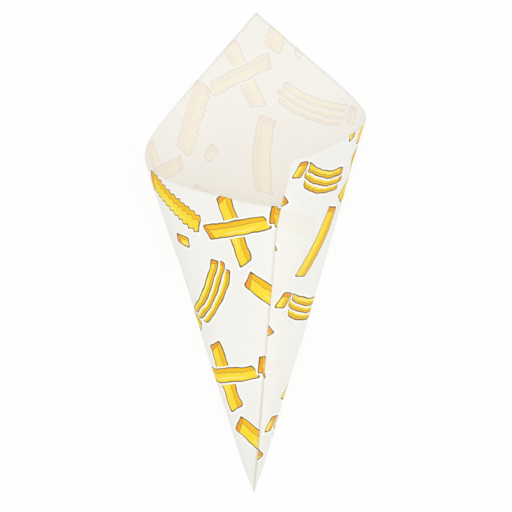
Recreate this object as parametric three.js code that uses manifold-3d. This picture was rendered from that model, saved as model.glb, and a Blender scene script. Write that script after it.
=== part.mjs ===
import * as THREE from "three";
import { mergeVertices } from "three/addons/utils/BufferGeometryUtils.js";
import Module from "manifold-3d";

const wasm = await Module();
wasm.setup();

// The flat sheet before it is rolled. Its corners are the tip, the flap corner, the top corner
// and the tucked corner, with right angles at the flap corner and the top corner. Its angle at
// the tip, 100.8 degrees, is that of one full turn of the section and the lap.
const FLAP_EDGE = 204.6; // tip to flap corner, the edge that shows as the seam
const TOP_EDGE = 176.2; // flap corner to top corner
const LAP_ANGLE = 10.49; // degrees of sheet by which the flap covers the tucked panel
const SHEET = 0.1; // paper thickness
const TIP_TRIM = 4; // the closed end of the tip, from the sheet's corner

// The rolled section, as it is 200 mm from the tip: a flat strip that the cone lies on and
// three soft bends. The lengths of the two side bends close the loop.
const SECTION_AT = 200;
const FLAT_START = 3.1; // to the right of the tip
const FLAT_WIDTH = 6;
const RIGHT_BEND = 120.7; // degrees
const CROWN_BEND = 85.8; // degrees
const CROWN_LENGTH = 74;
const TOP_CORNER_BACK = 0.6; // degrees along the sheet from the flat strip to the top corner

// The glued lap, and the loose corner of the flap above the tucked panel's rim.
const GLUE_SINK = 0.02; // how far the glued layers are pressed into each other
const STEP_UP = 3; // degrees of sheet over which the flap climbs onto the tucked panel
const LOOSE_FROM = 158; // from the tip, where the flap leaves the tucked panel
const LOOSE_ANGLE = 13; // degrees of sheet beside the flap edge that straighten out
const LOOSE_SHARE = 0.85; // how much of its bend the loose corner loses
const TIP_PLUG = 3; // length of tip that is pressed shut
const EDGE_PAIR = 0.3; // degrees to each side of a lap edge

const RAD = Math.PI / 180;
const FLAP_ANGLE = Math.atan(TOP_EDGE / FLAP_EDGE);
const SECTION_STEPS = 3600;

const easeTurn = (u) => u - Math.sin(2 * Math.PI * u) / (2 * Math.PI);

// The step that a bend takes per unit of length, for a start heading and a turn.
function bendStep(heading, turn) {
  const steps = 400;
  const sum = new THREE.Vector2();
  for (let i = 0; i < steps; i++) {
    const h = heading + turn * easeTurn((i + 0.5) / steps);
    sum.add(new THREE.Vector2(Math.cos(h), Math.sin(h)));
  }
  return sum.divideScalar(steps);
}

// The section's runs, each with its length and its turn in radians.
function sectionRuns() {
  const a = RIGHT_BEND * RAD;
  const b = CROWN_BEND * RAD;
  const c = 2 * Math.PI - a - b;
  const right = bendStep(0, a);
  const crown = bendStep(a, b).multiplyScalar(CROWN_LENGTH);
  const left = bendStep(a + b, c);
  const rest = new THREE.Vector2(-FLAT_WIDTH, 0).sub(crown);
  const area = right.cross(left);
  return [
    { length: FLAT_WIDTH, turn: 0 },
    { length: rest.cross(left) / area, turn: a },
    { length: CROWN_LENGTH, turn: b },
    { length: right.cross(rest) / area, turn: c },
  ];
}

// Unit directions from the tip to the points of the section, with the angle of sheet used so far.
function sheetDirections() {
  const runs = sectionRuns();
  const total = runs.reduce((sum, run) => sum + run.length, 0);
  const step = total / SECTION_STEPS;
  const at = new THREE.Vector2(FLAT_START, 0);
  const list = [];
  let angle = 0;
  for (let i = 0; i <= SECTION_STEPS; i++) {
    const d = new THREE.Vector3(at.x, SECTION_AT, at.y).normalize();
    if (i > 0) angle += d.angleTo(list[i - 1].d);
    list.push({ d, angle });
    let along = (i + 0.5) * step;
    let heading = 0;
    for (const run of runs) {
      const share = Math.min(Math.max(along / run.length, 0), 1);
      heading += run.turn * easeTurn(share);
      along -= run.length;
    }
    at.x += step * Math.cos(heading);
    at.y += step * Math.sin(heading);
  }
  return list;
}

const DIRECTIONS = sheetDirections();
const FULL_TURN = DIRECTIONS[SECTION_STEPS].angle;
const TUCK_ANGLE = FULL_TURN + LAP_ANGLE * RAD - FLAP_ANGLE;

// The direction of the line from the tip at an angle of sheet, counted from the top corner.
function directionAt(angle) {
  const raw = angle - TOP_CORNER_BACK * RAD;
  const turn = ((raw % FULL_TURN) + FULL_TURN) % FULL_TURN;
  let low = 0;
  let high = SECTION_STEPS;
  while (high - low > 1) {
    const mid = (low + high) >> 1;
    if (DIRECTIONS[mid].angle > turn) high = mid;
    else low = mid;
  }
  const a = DIRECTIONS[low];
  const b = DIRECTIONS[high];
  const share = (turn - a.angle) / (b.angle - a.angle);
  return a.d.clone().lerp(b.d, share).normalize();
}

// Distance from the tip to the sheet's top edges, at an angle from the top corner.
function rimAt(angle) {
  if (angle < 0) return TOP_EDGE / Math.sin(FLAP_ANGLE - angle);
  return FLAP_EDGE / Math.cos(FLAP_ANGLE - angle);
}

const smooth = (u) => {
  const v = Math.min(Math.max(u, 0), 1);
  return v * v * (3 - 2 * v);
};

// A point of the sheet's inner face. The loose corner straightens towards the flat plane that
// the sheet would follow from the start of the loose angle.
function innerPoint(angle, r) {
  const d = directionAt(angle);
  const start = FLAP_ANGLE - LOOSE_ANGLE * RAD;
  if (angle > start && r > LOOSE_FROM) {
    const d0 = directionAt(start);
    const ahead = directionAt(start + 0.002).sub(directionAt(start - 0.002));
    ahead.addScaledVector(d0, -ahead.dot(d0)).normalize();
    const flat = d0.multiplyScalar(Math.cos(angle - start));
    flat.addScaledVector(ahead, Math.sin(angle - start));
    const share = LOOSE_SHARE * smooth((r - LOOSE_FROM) / (FLAP_EDGE - LOOSE_FROM));
    d.lerp(flat, share).normalize();
  }
  return d.multiplyScalar(r);
}

function facePoint(angle, r, lift) {
  const e = 1e-3;
  const across = innerPoint(angle + e, r).sub(innerPoint(angle - e, r));
  const along = innerPoint(angle, r + e * r).sub(innerPoint(angle, r - e * r));
  const out = along.cross(across).normalize();
  return innerPoint(angle, r).addScaledVector(out, lift);
}

// Distances from the tip at which a line of the sheet carries vertices.
function rowsAt(angle) {
  const rim = rimAt(angle);
  const bend = Math.min(LOOSE_FROM, 0.9 * rim);
  const rows = [TIP_TRIM, 60, 120];
  for (let i = 0; i <= 6; i++) rows.push(bend + ((rim - bend) * i) / 6);
  return rows;
}

// A closed panel of the sheet between the given angles; lift gives the inner face's height.
function panel(angles, lift) {
  const rows = rowsAt(0).length;
  const points = [];
  for (const side of [0, SHEET]) {
    for (const angle of angles) {
      for (const r of rowsAt(angle)) {
        points.push(...facePoint(angle, r, lift(angle) + side).toArray());
      }
    }
  }
  const id = (side, i, j) => (side * angles.length + i) * rows + j;
  const faces = [];
  const quad = (a, b, c, d) => faces.push(a, b, c, a, c, d);
  const last = angles.length - 1;
  const top = rows - 1;
  for (let i = 0; i < last; i++) {
    for (let j = 0; j < top; j++) {
      quad(id(1, i, j + 1), id(1, i + 1, j + 1), id(1, i + 1, j), id(1, i, j));
      quad(id(0, i, j), id(0, i + 1, j), id(0, i + 1, j + 1), id(0, i, j + 1));
    }
    quad(id(1, i, 0), id(1, i + 1, 0), id(0, i + 1, 0), id(0, i, 0));
    quad(id(0, i, top), id(0, i + 1, top), id(1, i + 1, top), id(1, i, top));
  }
  for (let j = 0; j < top; j++) {
    quad(id(0, 0, j), id(0, 0, j + 1), id(1, 0, j + 1), id(1, 0, j));
    quad(id(0, last, j), id(1, last, j), id(1, last, j + 1), id(0, last, j + 1));
  }
  return solidFrom(points, faces);
}

// The short solid that shuts the tip, inside the sheet's thickness all round.
function tipPlug(angles) {
  const count = angles.length;
  const points = [];
  const ends = [TIP_TRIM + 0.2, TIP_TRIM + 0.2 + TIP_PLUG];
  for (const r of ends) {
    for (const angle of angles) {
      points.push(...facePoint(angle, r, SHEET - GLUE_SINK / 2).toArray());
    }
  }
  const middle = new THREE.Vector3();
  for (const angle of angles) middle.add(directionAt(angle));
  middle.normalize();
  for (const r of ends) points.push(...middle.clone().multiplyScalar(r).toArray());
  const faces = [];
  for (let i = 0; i < count; i++) {
    const next = (i + 1) % count;
    faces.push(count + i, count + next, next, count + i, next, i);
    faces.push(2 * count, i, next);
    faces.push(2 * count + 1, count + next, count + i);
  }
  return solidFrom(points, faces);
}

function solidFrom(points, faces) {
  const vertProperties = new Float32Array(points);
  const triVerts = new Uint32Array(faces);
  const mesh = new wasm.Mesh({ numProp: 3, vertProperties, triVerts });
  return new wasm.Manifold(mesh);
}

function anglesBetween(from, to, count) {
  return Array.from({ length: count + 1 }, (_, i) => from + ((to - from) * i) / count);
}

// Columns of vertices. The two layers of the lap share their columns, and each of the lap's two
// edges lies midway between a close pair of the other layer's columns.
const near = EDGE_PAIR * RAD;
const lap = LAP_ANGLE * RAD;
const lapStart = FLAP_ANGLE - lap;
const stepStart = lapStart - STEP_UP * RAD;
const tucked = [-TUCK_ANGLE, ...anglesBetween(near - TUCK_ANGLE, lap - TUCK_ANGLE - near, 11)];
const back = [...anglesBetween(lap - TUCK_ANGLE + near, 0, 56).slice(0, -1), 0];
const front = anglesBetween(0, stepStart, 30);
const step = anglesBetween(stepStart, lapStart - near, 3).slice(1);
const flap = [...anglesBetween(lapStart + near, FLAP_ANGLE - near, 11), FLAP_ANGLE];

const flapLift = (angle) => {
  return (SHEET - GLUE_SINK) * smooth((angle - stepStart) / (STEP_UP * RAD));
};

const leftPanel = panel([...tucked, ...back], () => 0);
const rightPanel = panel([...front, ...step, ...flap], flapLift);
const oneTurn = [...tucked.slice(1), ...back, ...front.slice(1), ...step];
const joined = leftPanel.add(rightPanel).add(tipPlug(oneTurn)).getMesh();

let cone = new THREE.BufferGeometry();
cone.setAttribute("position", new THREE.BufferAttribute(joined.vertProperties, 3));
cone.setIndex(new THREE.BufferAttribute(joined.triVerts, 1));
cone = mergeVertices(cone, 1e-3);
cone.computeBoundingBox();
const box = cone.boundingBox;
cone.translate(-(box.min.x + box.max.x) / 2, -(box.min.y + box.max.y) / 2, -box.min.z);

const paper = new THREE.MeshStandardMaterial({ color: 0xf3f1ea, roughness: 0.85, metalness: 0 });
const mesh = new THREE.Mesh(cone, paper);
mesh.name = "paper_cone";

const group = new THREE.Group();
group.add(mesh);

export default group;
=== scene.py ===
import math

import bpy
import numpy as np
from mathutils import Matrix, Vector


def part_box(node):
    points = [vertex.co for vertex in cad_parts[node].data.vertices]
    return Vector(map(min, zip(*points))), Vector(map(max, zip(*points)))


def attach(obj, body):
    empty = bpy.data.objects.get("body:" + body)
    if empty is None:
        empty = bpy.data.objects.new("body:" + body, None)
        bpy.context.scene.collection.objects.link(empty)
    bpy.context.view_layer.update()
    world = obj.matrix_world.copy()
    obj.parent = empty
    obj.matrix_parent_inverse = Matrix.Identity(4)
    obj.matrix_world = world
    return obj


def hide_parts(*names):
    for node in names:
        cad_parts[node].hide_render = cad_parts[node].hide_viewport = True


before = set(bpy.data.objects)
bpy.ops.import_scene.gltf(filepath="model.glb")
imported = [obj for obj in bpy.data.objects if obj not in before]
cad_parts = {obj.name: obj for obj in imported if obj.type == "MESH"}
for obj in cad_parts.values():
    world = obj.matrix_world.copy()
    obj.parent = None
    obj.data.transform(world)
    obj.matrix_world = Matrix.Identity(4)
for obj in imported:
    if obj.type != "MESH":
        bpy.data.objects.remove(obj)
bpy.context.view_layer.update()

MM = 0.001
DEG = math.pi / 180

# The flat sheet, as in the CAD part: right angles at the flap corner and the top corner.
FLAP_EDGE = 204.6 * MM
TOP_EDGE = 176.2 * MM
FLAP_ANGLE = math.atan(TOP_EDGE / FLAP_EDGE)
LAP = 10.49 * DEG
PAPER = 0.1 * MM
TIP_TRIM = 4 * MM
TIP_SHUT = 22 * MM  # from here to the trim the tip is squeezed shut
TIP_POINT = 3.7 * MM  # where the squeezed sides would meet

# The rolled section, 200 mm from the tip: a flat strip and three soft bends.
SECTION_AT = 200 * MM
FLAT_START = 3.1 * MM
FLAT_WIDTH = 6 * MM
RIGHT_BEND = 120.7 * DEG
CROWN_BEND = 85.8 * DEG
CROWN_LENGTH = 74 * MM
TOP_CORNER_BACK = 0.6 * DEG
SECTION_STEPS = 3600
BEND_STEPS = 400

# The lap and the loose corner of the flap.
STEP_UP = 3 * DEG
LOOSE_FROM = 158 * MM
LOOSE_ANGLE = 13 * DEG
LOOSE_SHARE = 0.62
SLOPE_STEP = 0.002  # radians of sheet to each side of a line, for the slope there
GLUE_GAP = 0.04 * MM
FREE_EDGE = 3 * MM  # strip along the flap edge that the glue doesn't reach
FREE_LIFT = 0.3 * MM
FREE_FULL = 70 * MM  # from the tip to where the strip stands off in full

# The paper's slow waves: share of the height, waves round the cone, millimetres along it for
# one radian, and where they start.
COCKLE = 0.35 * MM
COCKLE_WAVES = ((1.0, 3, 31, 0.0), (0.6, 5, -17, 1.3), (0.5, 2, 12, 4.0), (0.3, 9, 14, 2.2))
COCKLE_FULL = 150 * MM  # from the tip to where they have their full height
COCKLE_FROM = 6 * DEG  # of sheet from the line it lies on, where they set in

# The grid on the sheet, and how much it closes up towards the sides and the tip.
COLUMNS = 260
ROWS = 110
COLUMN_CROWD = 0.8
ROW_CROWD = 1.2

# The bake map: two islands side by side and a row for each cut edge above them.
ISLAND_WIDTH = 0.48
ISLAND_MARGIN = 0.01
STRIP_FROM = 0.75
STRIP_STEP = 0.03
STRIP_HEIGHT = 0.01


def smooth(u):
    """3u^2 - 2u^3, held between 0 and 1."""
    u = np.clip(u, 0, 1)
    return u * u * (3 - 2 * u)


def soft_turn(u):
    """u - sin(2 pi u) / 2 pi: a turn that starts and ends gently."""
    return u - np.sin(2 * np.pi * u) / (2 * np.pi)


def unit(v):
    """v divided by its length."""
    return v / np.linalg.norm(v, axis=-1, keepdims=True)


def bend_step(heading, turn):
    """Mean of (cos, sin) of the heading over a bend: the way it goes per unit of length."""
    h = heading + turn * soft_turn((np.arange(BEND_STEPS) + 0.5) / BEND_STEPS)
    return np.array([np.cos(h).mean(), np.sin(h).mean()])


def section_lines():
    """The section's heading is the sum of its bends' soft turns. Its points, one step after
    another along that heading, give unit directions from the tip and the angle of sheet used."""
    a, b = RIGHT_BEND, CROWN_BEND
    c = 2 * np.pi - a - b
    right, left = bend_step(0, a), bend_step(a + b, c)
    rest = -np.array([FLAT_WIDTH, 0]) - bend_step(a, b) * CROWN_LENGTH
    right_length, left_length = np.linalg.solve(np.stack([right, left], 1), rest)
    lengths = np.array([FLAT_WIDTH, right_length, CROWN_LENGTH, left_length])
    ends = np.cumsum(lengths)
    step = ends[-1] / SECTION_STEPS
    along = (np.arange(SECTION_STEPS) + 0.5) * step
    heading = np.zeros(SECTION_STEPS)
    for turn, end, length in zip((0, a, b, c), ends, lengths):
        heading += turn * soft_turn(np.clip((along - end + length) / length, 0, 1))
    x = FLAT_START + np.append(0, np.cumsum(np.cos(heading))) * step
    z = np.append(0, np.cumsum(np.sin(heading))) * step
    d = unit(np.stack([x, np.full_like(x, SECTION_AT), z], 1))
    turn = np.arccos(np.clip((d[1:] * d[:-1]).sum(1), -1, 1))
    return np.append(0, np.cumsum(turn)), d


LINE_ANGLE, LINE = section_lines()
FULL_TURN = LINE_ANGLE[-1]
TUCK_ANGLE = FULL_TURN + LAP - FLAP_ANGLE


def direction(angle):
    """Unit direction of the sheet's line at an angle from the top corner, read off the
    section's lines, which come round again after a full turn."""
    turn = np.mod(angle - TOP_CORNER_BACK, FULL_TURN)
    return unit(np.stack([np.interp(turn, LINE_ANGLE, LINE[:, k]) for k in range(3)], -1))


def rim(angle):
    """Distance from the tip to the sheet's two straight top edges: each edge's distance from
    the tip over the cosine of the angle between the line and the edge's own upright."""
    return np.where(
        angle < 0,
        TOP_EDGE / np.sin(FLAP_ANGLE - angle),
        FLAP_EDGE / np.cos(FLAP_ANGLE - angle),
    )


def sheet_point(angle, r):
    """r times the line's direction. Past LOOSE_FROM the flap's corner goes over to the flat
    plane d cos(a) + t sin(a). Near the tip all lines close in on the middle one by the share
    (1 - p / r) / (1 - p / s), which makes the sides run straight to a point."""
    d = direction(angle)
    start = FLAP_ANGLE - LOOSE_ANGLE
    d0 = direction(np.array(start))
    ahead = direction(np.array(start + SLOPE_STEP)) - direction(np.array(start - SLOPE_STEP))
    ahead = unit(ahead - d0 * (ahead @ d0))
    a = np.maximum(angle - start, 0)[..., None]
    flat = np.where(a > 0, d0 * np.cos(a) + ahead * np.sin(a), d)
    share = LOOSE_SHARE * smooth((r - LOOSE_FROM) / (FLAP_EDGE - LOOSE_FROM))
    d = unit(d + (flat - d) * share[..., None])
    middle = unit(LINE.mean(0))
    open_share = (1 - TIP_POINT / r) / (1 - TIP_POINT / TIP_SHUT)
    shut = 1 - np.minimum(open_share, 1)[..., None]
    d = unit(d + (middle - d) * shut)
    return d * r[..., None]


def cockle(angle, r):
    """A few sine waves round and along the cone, the same for both layers of the lap. They
    die out towards the tip and towards the strip that the cone lies on."""
    turn = 2 * np.pi * angle / FULL_TURN
    waves = sum(
        share * np.sin(count * turn + r / (length * MM) + start)
        for share, count, length, start in COCKLE_WAVES
    )
    off = np.abs(np.mod(angle + FULL_TURN / 2, FULL_TURN) - FULL_TURN / 2)
    return COCKLE * waves * smooth(r / COCKLE_FULL) * smooth(off / COCKLE_FROM - 1)


def layer_height(angle, r):
    """Height of the sheet's inner face over the cone: one paper thickness on the lap, a little
    more where the flap's free edge stands off, and the cockle."""
    lap_start = FLAP_ANGLE - LAP
    climb = (PAPER + GLUE_GAP) * smooth((angle - lap_start + STEP_UP) / STEP_UP)
    from_edge = r * np.sin(np.clip(FLAP_ANGLE - angle, 0, 1))
    free = FREE_LIFT * smooth(1 - from_edge / FREE_EDGE) * smooth(r / FREE_FULL)
    return climb + free + cockle(angle, r)


def sheet_grid():
    """Angle and distance of every vertex: columns close up towards the sheet's two side edges
    as t - c sin(2 pi t) / 2 pi does, one lies on the top corner, and rows run from the tip to
    the rim as a power of s."""
    t = np.linspace(0, 1, COLUMNS)
    t = t - COLUMN_CROWD * np.sin(2 * np.pi * t) / (2 * np.pi)
    angle = -TUCK_ANGLE + (FULL_TURN + LAP) * t
    angle[np.abs(angle).argmin()] = 0
    s = np.linspace(0, 1, ROWS) ** ROW_CROWD
    r = TIP_TRIM + (rim(angle)[:, None] - TIP_TRIM) * s[None, :]
    return np.broadcast_to(angle[:, None], r.shape), r


def bake_spots(flat, faces, strips):
    """The bake map of every face corner: the flat sheet at one scale for the outer face, the
    same moved right by half for the inner face, and the cut edges in straight rows."""
    scale = ISLAND_WIDTH / np.ptp(flat[:, 0])
    spot = (flat - flat.min(0)) * scale + ISLAND_MARGIN
    spots = np.concatenate([spot, spot + [0.5, 0]])[faces]
    first = len(faces) - sum(len(strip) for strip in strips)
    for k, strip in enumerate(strips):
        across = np.linspace(ISLAND_MARGIN, 1 - ISLAND_MARGIN, len(strip) + 1)
        low = np.full(len(strip), STRIP_FROM + STRIP_STEP * k)
        high = low + STRIP_HEIGHT
        corners = ((across[:-1], low), (across[1:], low), (across[1:], high), (across[:-1], high))
        row = np.stack([np.stack(corner, 1) for corner in corners], 1)
        spots[first : first + len(strip)] = row
        first += len(strip)
    return spots


def shell_mesh(name, outer, inner, flat):
    """Closed shell from two grids of points with strips along their four borders. flat gives
    each grid point's place on the unrolled sheet, for the map that the print follows."""
    nu, nv = outer.shape[:2]
    count = nu * nv
    ids = np.arange(count).reshape(nu, nv)

    def quads(a, b, c, d):
        return np.stack([a.ravel(), b.ravel(), c.ravel(), d.ravel()], 1)

    face = quads(ids[:-1, 1:], ids[1:, 1:], ids[1:, :-1], ids[:-1, :-1])
    around = [ids[:, 0], ids[-1, :], ids[::-1, -1], ids[0, ::-1]]
    strips = [
        quads(line[:-1], line[1:], line[1:] + count, line[:-1] + count) for line in around
    ]
    faces = np.concatenate([face, face[:, ::-1] + count] + strips)

    mesh = bpy.data.meshes.new(name)
    mesh.vertices.add(2 * count)
    points = np.concatenate([outer.reshape(-1, 3), inner.reshape(-1, 3)])
    mesh.vertices.foreach_set("co", points.astype(np.float32).ravel())
    mesh.loops.add(faces.size)
    mesh.loops.foreach_set("vertex_index", faces.ravel().astype(np.int32))
    mesh.polygons.add(len(faces))
    mesh.polygons.foreach_set("loop_start", np.arange(0, faces.size, 4, dtype=np.int32))
    mesh.update(calc_edges=True)
    mesh.polygons.foreach_set("use_smooth", np.arange(len(faces)) < 2 * len(face))

    flat = flat.reshape(-1, 2)
    sheet_map = np.concatenate([flat, flat])[faces]
    layer = mesh.uv_layers.new(name="sheet")
    layer.data.foreach_set("uv", sheet_map.astype(np.float32).ravel())

    side = mesh.attributes.new("outer", "FLOAT", "POINT")
    side.data.foreach_set("value", (np.arange(2 * count) < count).astype(np.float32))

    spots = bake_spots(flat, faces, strips)
    layer = mesh.uv_layers.new(name="OFBake")
    layer.data.foreach_set("uv", spots.astype(np.float32).ravel())
    mesh.validate()
    return mesh


# The sheet's corner at the tip, from the CAD cone's box: the cone lies on its back, with the
# top corner at the box's far end and straight ahead of the tip.
TIP_LEFT = 1.134 * MM
TIP_PLACE = (
    -TIP_LEFT,
    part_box("paper_cone")[1].y - math.hypot(FLAP_EDGE, TOP_EDGE),
    PAPER,
)


def make_cone():
    """The rolled sheet: inner and outer face are the sheet's points moved out along its
    normal by the layer's height, and by that and the paper's thickness."""
    angle, r = sheet_grid()
    base = sheet_point(angle, r)
    across = np.gradient(base, axis=0)
    along = np.gradient(base, axis=1)
    normal = unit(np.cross(along, across))
    height = layer_height(angle, r)[..., None]
    inner = base + normal * height
    outer = base + normal * (height + PAPER)
    flat = np.stack([r * np.sin(FLAP_ANGLE - angle), r * np.cos(FLAP_ANGLE - angle)], -1)
    tip = np.array(TIP_PLACE)
    mesh = shell_mesh("paper_cone_sheet", outer + tip, inner + tip, flat)
    cone = bpy.data.objects.new("paper_cone_sheet", mesh)
    bpy.context.scene.collection.objects.link(cone)
    return cone


cone = make_cone()
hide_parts("paper_cone")
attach(cone, "root")


class Nodes:
    """Short calls for building one node tree."""

    def __init__(self, tree):
        self.tree = tree

    def add(self, kind, inputs=(), **settings):
        """A node with its settings, and a value or a link for each named input."""
        node = self.tree.nodes.new(kind)
        for key, value in settings.items():
            setattr(node, key, value)
        for socket, value in dict(inputs).items():
            self.put(node.inputs[socket], value)
        return node

    def put(self, socket, value):
        """Links another node's output to the socket, or sets the socket's own value."""
        if isinstance(value, bpy.types.NodeSocket):
            self.tree.links.new(value, socket)
        else:
            socket.default_value = value

    def math(self, operation, *values):
        """One step of arithmetic on single values."""
        node = self.add("ShaderNodeMath", operation=operation)
        for socket, value in zip(node.inputs, values):
            self.put(socket, value)
        return node.outputs[0]

    def vector(self, operation, inputs):
        """One step of arithmetic on vectors."""
        return self.add("ShaderNodeVectorMath", inputs, operation=operation).outputs[0]

    def parts(self, vector):
        """The vector's X, Y and Z."""
        return self.add("ShaderNodeSeparateXYZ", {0: vector}).outputs

    def turned(self, vector, angle):
        """The vector turned about the Z axis."""
        inputs = {"Vector": vector, "Angle": angle}
        return self.add("ShaderNodeVectorRotate", inputs, rotation_type="Z_AXIS").outputs[0]

    def ramp(self, value, start, end, first, last):
        """first to last in a straight line while value goes from start to end."""
        limits = {"From Min": start, "From Max": end, "To Min": first, "To Max": last}
        return self.add("ShaderNodeMapRange", {"Value": value, **limits}).outputs[0]

    def below(self, value, limit, soft):
        """1 where value is under limit, 0 over it, with an edge soft wide."""
        return self.ramp(value, limit - soft / 2, limit + soft / 2, 1.0, 0.0)

    def mix(self, share, first, second):
        """The first colour, or by a share the second."""
        node = self.add("ShaderNodeMix", data_type="RGBA")
        self.put(node.inputs["Factor"], share)
        self.put(node.inputs[6], first)
        self.put(node.inputs[7], second)
        return node.outputs[2]

    def noise(self, vector, scale, detail):
        """A noise texture, as its node."""
        inputs = {"Vector": vector, "Scale": scale, "Detail": detail}
        return self.add("ShaderNodeTexNoise", inputs)

    def group(self, tree, inputs):
        """Another tree as one node; its only output."""
        return self.add("ShaderNodeGroup", inputs, node_tree=tree).outputs[0]


def colour(red, green, blue):
    """A screen colour of 0 to 255 as the linear colour that shaders take."""
    v = np.array([red, green, blue]) / 255
    linear = np.where(v <= 0.04045, v / 12.92, ((v + 0.055) / 1.055) ** 2.4)
    return (*linear, 1.0)


# The print, in millimetres on the sheet. It repeats every CELL_WIDTH by CELL_HEIGHT.
CELL_WIDTH = 88.0
CELL_HEIGHT = 76.0
OUTLINE = 0.65
HALO = 1.0  # white rim round the outline
EDGE_SOFT = 0.22
CORNER_ROUND = 2.2
CRINKLE_RATE = 1.75  # radians of wave per millimetre of chip
END_SLANT = 0.3
SIDE_LINE = -0.14  # the line between top and side, in widths from the chip's middle
GLEAM_LINE = 0.36  # the gleam, in widths from that line
GLEAM_LENGTH = 9.0
END_FACE = 2.6  # depth of the cut end
END_FACE_SLANT = 0.55
FINE_LINE = 0.16
FINE_LINE_SHARE = 0.75
WANDER = 2.2  # how far the print's lines stray
WANDER_SCALE = 0.13
INK_TOP = colour(255, 224, 52)
INK_LIGHT = colour(255, 240, 120)
INK_SIDE = colour(252, 196, 22)
INK_END = colour(252, 168, 26)
INK_LINE = colour(118, 98, 56)
INK_HALO = colour(255, 255, 254)

# Chips of the print: centre x and y, turn in degrees, length, width, bend and crinkle.
CHIPS = (
    (-17, 22, 24, 40, 9.0, 0.0, 0.0),
    (-16, 21, 112, 37, 8.6, 0.0, 0.0),
    (28.6, 28.4, -20, 38, 4.8, 0.008, 0.0),
    (30, 32.4, -20, 42, 4.8, 0.008, 0.0),
    (31.4, 36.4, -20, 39, 4.8, 0.008, 0.0),
    (-12, 61, 66, 40, 10.4, 0.0, 0.6),
    (34, 71, 52, 42, 10.4, 0.005, 0.0),
    (8, 45, 60, 10, 6.4, 0.0, 0.0),
    (56, 53, 84, 9, 5.8, 0.0, 0.0),
)

CHIP_INPUTS = ("Centre X", "Centre Y", "Turn", "Length", "Width", "Bend", "Crinkle")


def ink_tree(name, numbers=()):
    """A node group that takes the colour below, the point on the sheet and some numbers, and
    gives the colour with its ink on. Returns the tree, its nodes and its inputs."""
    tree = bpy.data.node_groups.new(name, "ShaderNodeTree")
    face = tree.interface
    face.new_socket("Color", in_out="INPUT", socket_type="NodeSocketColor")
    face.new_socket("Point", in_out="INPUT", socket_type="NodeSocketVector")
    for number in numbers:
        face.new_socket(number, in_out="INPUT", socket_type="NodeSocketFloat")
    face.new_socket("Color", in_out="OUTPUT", socket_type="NodeSocketColor")
    n = Nodes(tree)
    return tree, n, n.add("NodeGroupInput").outputs


def chip_group():
    """One printed chip over the colour that comes in. Its distance is that of a rounded
    rectangle, bent by a parabola and waved by a sine; its faces are split by straight lines."""
    tree, n, given = ink_tree("printed_chip", CHIP_INPUTS)
    place = n.parts(given["Point"])
    x = n.math("SUBTRACT", place[0], given["Centre X"])
    x = n.math("WRAP", x, CELL_WIDTH / 2, -CELL_WIDTH / 2)
    y = n.math("SUBTRACT", place[1], given["Centre Y"])
    y = n.math("WRAP", y, CELL_HEIGHT / 2, -CELL_HEIGHT / 2)
    cos, sin = n.math("COSINE", given["Turn"]), n.math("SINE", given["Turn"])
    along = n.math("ADD", n.math("MULTIPLY", x, cos), n.math("MULTIPLY", y, sin))
    across = n.math("SUBTRACT", n.math("MULTIPLY", y, cos), n.math("MULTIPLY", x, sin))
    bend = n.math("MULTIPLY", given["Bend"], n.math("MULTIPLY", along, along))
    across = n.math("SUBTRACT", across, bend)
    wave = n.math("SINE", n.math("MULTIPLY", along, CRINKLE_RATE))
    across = n.math("MULTIPLY_ADD", wave, given["Crinkle"], across)
    half_length = n.math("MULTIPLY", given["Length"], 0.5)
    half_width = n.math("MULTIPLY", given["Width"], 0.5)
    # Both ends are cut at a slant, as an end face seen from the side is.
    slant = n.math("MULTIPLY_ADD", across, END_SLANT, along)
    over_long = n.math("SUBTRACT", n.math("ABSOLUTE", slant), half_length)
    over_wide = n.math("SUBTRACT", n.math("ABSOLUTE", across), half_width)
    distance = n.math("SMOOTH_MAX", over_long, over_wide, CORNER_ROUND)
    ink = n.mix(n.below(distance, HALO, EDGE_SOFT * 1.5), given["Color"], INK_HALO)
    ink = n.mix(n.below(distance, 0.0, EDGE_SOFT), ink, INK_LINE)

    # Three faces: a bright top, a deeper side past the dividing line, and the cut end.
    dividing = n.math("MULTIPLY", given["Width"], SIDE_LINE)
    from_line = n.math("SUBTRACT", across, dividing)
    face = n.mix(n.below(from_line, 0.0, 0.3), INK_TOP, INK_SIDE)
    gleam_at = n.math("MULTIPLY", given["Width"], GLEAM_LINE)
    gleam = n.math("ABSOLUTE", n.math("SUBTRACT", from_line, gleam_at))
    short = n.below(n.math("ABSOLUTE", n.math("ADD", along, 2.0)), GLEAM_LENGTH, 3.0)
    gleam = n.math("MULTIPLY", n.below(gleam, 0.45, 0.4), short)
    face = n.mix(gleam, face, INK_LIGHT)
    end_slant = n.math("MULTIPLY_ADD", across, END_FACE_SLANT, along)
    to_end = n.math("SUBTRACT", half_length, end_slant)
    end = n.below(to_end, END_FACE, 0.3)
    face = n.mix(end, face, INK_END)

    # A fine line along the dividing line and round the cut end.
    line = n.below(n.math("ABSOLUTE", from_line), FINE_LINE, 0.2)
    line = n.math("MULTIPLY", line, n.math("SUBTRACT", 1.0, end))
    end_line = n.math("ABSOLUTE", n.math("SUBTRACT", to_end, END_FACE))
    line = n.math("MAXIMUM", line, n.below(end_line, FINE_LINE, 0.2))
    face = n.mix(n.math("MULTIPLY", line, FINE_LINE_SHARE), face, INK_LINE)
    ink = n.mix(n.below(distance, -OUTLINE, EDGE_SOFT), ink, face)
    n.add("NodeGroupOutput", {"Color": ink})
    return tree


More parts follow.
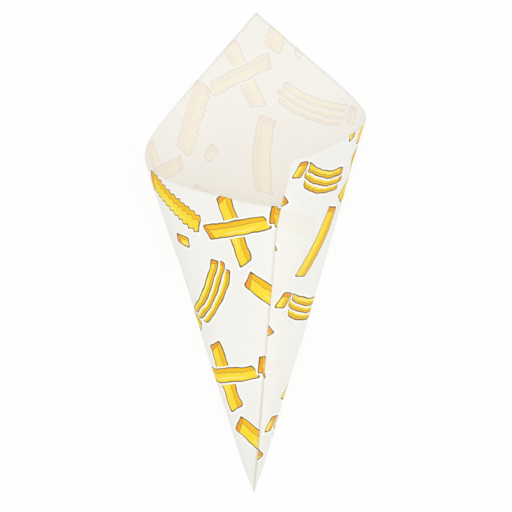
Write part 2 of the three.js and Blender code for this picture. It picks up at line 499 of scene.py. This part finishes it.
def print_group():
    """The whole print over the paper's colour: every chip's group, one after another, at a
    point that strays by a slow noise, as the lines of a drawing made by hand do."""
    tree, n, given = ink_tree("chip_print")
    chip = chip_group()
    stray = n.noise(given["Point"], WANDER_SCALE, 1.0).outputs["Color"]
    stray = n.vector("SUBTRACT", {0: stray, 1: (0.5, 0.5, 0.5)})
    point = n.vector("MULTIPLY_ADD", {0: stray, 1: (WANDER, WANDER, 0.0), 2: given["Point"]})
    ink = given["Color"]
    for x, y, turn, *shape in CHIPS:
        numbers = dict(zip(CHIP_INPUTS, (x, y, turn * DEG, *shape)))
        ink = n.group(chip, {"Color": ink, "Point": point, **numbers})
    n.add("NodeGroupOutput", {"Color": ink})
    return tree


PAPER_OUT = colour(246, 245, 239)
PAPER_IN = colour(245, 243, 237)  # inner face at the top corner
PAPER_DEEP_LIT = colour(253, 252, 250)  # and deep inside, painted light for light that comes through the paper
DEEP_FROM, DEEP_TO = 260.0, 140.0  # where the painted light starts and where it is full, in millimetres from the tip
CLOUD = 0.035  # depth of the paper's cloudy tone
GRAIN = 0.03  # depth of the faint lines across the sheet
TIP_SHADE = 0.05  # how much darker the tip is, where the layers lie close
STEP_AT = 11.0  # millimetres beside the line to the top corner
STEP_TONE = 0.008
GHOST_SHARE = 0.15  # how much of the print shows through the paper
GHOST_TINT = (1.0, 0.97, 0.93)  # it is a little redder there
LAP_GHOST_SHARE = 0.055
# The seam: the cut edge's own tint, partly painted shade, and a painted shadow of the flap's edge
# beside it.
SEAM_AND_SHADOW_TINT = colour(196, 172, 138)
SEAM_EDGE = 0.42
SEAM_SHADOW = 0.38


def paper_tone(n, point, outer):
    """The bare paper: one colour outside, two that pass into each other inside, the deeper one
    painted light, times 1 plus a cloudy noise, a noise drawn out into lines, the darker tip and a
    faint step of tone."""
    far = n.add("ShaderNodeVectorMath", {0: point}, operation="LENGTH").outputs["Value"]
    # Painted light: the inner face turns lighter deep inside, standing in for light through the
    # paper.
    deep_light = n.ramp(far, DEEP_TO, DEEP_FROM, 1.0, 0.0)
    paper = n.mix(outer, n.mix(deep_light, PAPER_IN, PAPER_DEEP_LIT), PAPER_OUT)
    cloud = n.noise(point, 0.16, 3.0).outputs[0]
    stretch = {"Vector": point, "Scale": (0.04, 1.3, 1.0)}
    grain = n.noise(n.add("ShaderNodeMapping", stretch).outputs[0], 1.0, 4.0).outputs[0]
    shade = n.math("MULTIPLY_ADD", n.math("SUBTRACT", cloud, 0.5), CLOUD, 1.0)
    shade = n.math("MULTIPLY_ADD", n.math("SUBTRACT", grain, 0.5), GRAIN, shade)
    shade = n.math("SUBTRACT", shade, n.ramp(far, 10.0, 80.0, TIP_SHADE, 0.0))
    straight = n.parts(n.turned(point, FLAP_ANGLE))
    high = n.math("SUBTRACT", 1.0, n.below(straight[1], 172.0, 16.0))
    high = n.math("MULTIPLY", high, n.below(straight[1], 222.0, 16.0))
    step = n.math("MULTIPLY", high, n.below(straight[0], STEP_AT, 1.2))
    shade = n.math("MULTIPLY_ADD", step, STEP_TONE, shade)
    return n.vector("SCALE", {0: paper, 3: shade})


def lap_ghost(n, point, printed, paper, prints):
    """On the lap the tucked panel's print shows faintly. Its place on the sheet is one full
    turn about the tip from here, and it ends at the tucked panel's own rim."""
    place = n.parts(point)
    turned = n.turned(point, -FULL_TURN)
    under = n.group(prints, {"Color": paper, "Point": turned})
    under = n.vector("MULTIPLY", {0: under, 1: GHOST_TINT})
    past_lap = n.math("SUBTRACT", n.math("MULTIPLY", place[0], math.cos(LAP)),
                      n.math("MULTIPLY", place[1], math.sin(LAP)))
    below_rim = n.below(n.parts(turned)[0], TOP_EDGE / MM, 0.6)
    lapped = n.math("MULTIPLY", n.below(past_lap, 0.0, 0.6), below_rim)
    return n.mix(n.math("MULTIPLY", lapped, LAP_GHOST_SHARE), printed, under)


def seam_line_and_shadow(n, point, printed):
    """A thin brownish line on the flap's cut edge, partly painted shade, and a soft painted
    shadow beside it on the panel below, found one full turn about the tip from here. Both grow
    stronger towards the tip."""
    place = n.parts(point)
    below = n.parts(n.turned(point, FULL_TURN))
    # The cut edge's own tint, with painted shade that grows towards the tip.
    edge = n.below(place[0], 0.35, 0.4)
    edge_share = n.math("MULTIPLY", n.ramp(place[1], 20.0, 120.0, 1.0, 0.35), SEAM_EDGE)
    # Painted shadow of the flap's edge on the panel below.
    beside = n.below(n.math("ABSOLUTE", n.math("ADD", below[0], 0.3)), 0.5, 1.1)
    beside = n.math("MULTIPLY", beside, n.below(below[1], FLAP_EDGE / MM, 0.6))
    shadow_share = n.math("MULTIPLY", n.ramp(below[1], 20.0, 120.0, 1.0, 0.35), SEAM_SHADOW)
    seam_and_shadow = n.math("MAXIMUM", n.math("MULTIPLY", edge, edge_share),
                  n.math("MULTIPLY", beside, shadow_share))
    return n.mix(seam_and_shadow, printed, SEAM_AND_SHADOW_TINT)


def printed_paper():
    """White paper, printed on the outer face, with the print showing faintly through."""
    material = bpy.data.materials.new("printed_paper")
    material.use_nodes = True
    tree = material.node_tree
    n = Nodes(tree)
    shader = tree.nodes["Principled BSDF"]
    flat = n.add("ShaderNodeUVMap", uv_map="sheet").outputs[0]
    point = n.vector("SCALE", {0: flat, 3: 1 / MM})
    outer = n.add("ShaderNodeAttribute", attribute_name="outer").outputs["Fac"]
    prints = print_group()
    paper = paper_tone(n, point, outer)
    printed = n.group(prints, {"Color": paper, "Point": point})
    redder = n.vector("MULTIPLY", {0: GHOST_TINT, 1: printed})
    inside = n.mix(GHOST_SHARE, paper, redder)
    outside = seam_line_and_shadow(n, point, lap_ghost(n, point, printed, paper, prints))
    tree.links.new(n.mix(outer, inside, outside), shader.inputs["Base Color"])
    shader.inputs["Roughness"].default_value = 0.62
    shader.inputs["Specular IOR Level"].default_value = 0.3
    return material


cone.data.materials.append(printed_paper())

WORLD_LIGHT = 0.86
FLOOR_TONE = (0.92, 0.92, 0.92, 1)
FLOOR_SEEN = 0.9  # how much of the floor's own shadow the camera doesn't see
FLOOR_HALF = 3.0
FLOOR_UNDER = 0.05 * MM
WHITE = (1, 1, 1, 1)


def seen_rays(n):
    """1 for rays from the camera and for those that gloss and glass pass on."""
    ray = n.add("ShaderNodeLightPath").outputs
    passed_on = n.math("MAXIMUM", ray["Is Glossy Ray"], ray["Is Transmission Ray"])
    return n.math("MAXIMUM", ray["Is Camera Ray"], passed_on)


def white_floor():
    """Floor material: nearly full white where it is seen, plain white to light and shadow."""
    material = bpy.data.materials.new("white_floor")
    material.use_nodes = True
    tree = material.node_tree
    n = Nodes(tree)
    tree.nodes.remove(tree.nodes["Principled BSDF"])
    share = n.math("MULTIPLY", seen_rays(n), FLOOR_SEEN)
    lit = n.add("ShaderNodeBsdfDiffuse", {"Color": FLOOR_TONE}).outputs[0]
    white = n.add("ShaderNodeEmission", {"Color": WHITE, "Strength": 1.0}).outputs[0]
    mixed = n.add("ShaderNodeMixShader", {0: share, 1: lit, 2: white}).outputs[0]
    tree.links.new(mixed, tree.nodes["Material Output"].inputs["Surface"])
    return material


def make_floor():
    """A level square under the cone, just below the face it lies on."""
    mesh = bpy.data.meshes.new("floor")
    half, z = FLOOR_HALF, -FLOOR_UNDER
    corners = [(-half, -half, z), (half, -half, z), (half, half, z), (-half, half, z)]
    mesh.from_pydata(corners, [], [(0, 1, 2, 3)])
    mesh.materials.append(white_floor())
    floor = bpy.data.objects.new("floor", mesh)
    bpy.context.scene.collection.objects.link(floor)


def light_world():
    """The world: full white where it is seen, a plain level of light otherwise."""
    world = bpy.data.worlds.new("studio")
    bpy.context.scene.world = world
    world.use_nodes = True
    n = Nodes(world.node_tree)
    back = world.node_tree.nodes["Background"]
    strength = n.math("MULTIPLY_ADD", seen_rays(n), 1.0 - WORLD_LIGHT, WORLD_LIGHT)
    n.put(back.inputs["Color"], WHITE)
    n.put(back.inputs["Strength"], strength)


def softbox(name, place, size, power):
    """A round lamp that looks at the origin."""
    lamp = bpy.data.lights.new(name, "AREA")
    lamp.shape = "DISK"
    lamp.size = size
    lamp.energy = power
    holder = bpy.data.objects.new(name, lamp)
    holder.location = place
    holder.rotation_euler = (-Vector(place)).to_track_quat("-Z", "Y").to_euler()
    bpy.context.scene.collection.objects.link(holder)


# The camera's distance and aim, in the photo's pixels on the floor plane.
PIXEL = 270.0 / 486.3 * MM
CAMERA_PIXELS = 2000
AIM_RIGHT_OF_TIP = 2.1
AIM_ABOVE_TIP = 242.7
SENSOR = 36.0
FRAME_PIXELS = 512


def make_camera():
    """A camera that looks straight down, with a lens of sensor times distance over frame."""
    lens = bpy.data.cameras.new("camera")
    lens.sensor_width = SENSOR
    lens.lens = SENSOR * CAMERA_PIXELS / FRAME_PIXELS
    lens.clip_end = 20.0
    camera = bpy.data.objects.new("camera", lens)
    camera.location = (
        TIP_PLACE[0] + AIM_RIGHT_OF_TIP * PIXEL,
        TIP_PLACE[1] + AIM_ABOVE_TIP * PIXEL,
        TIP_PLACE[2] + CAMERA_PIXELS * PIXEL,
    )
    bpy.context.scene.collection.objects.link(camera)
    bpy.context.scene.camera = camera


make_floor()
light_world()
softbox("top_softbox", (-0.15, 0.1, 1.7), 0.7, 3.0)
softbox("side_softbox", (0.9, -0.4, 1.2), 0.9, 1.4)
make_camera()
bpy.context.scene.view_settings.view_transform = "Standard"
bpy.context.scene.cycles.diffuse_bounces = 12  # the white inside passes light on many times
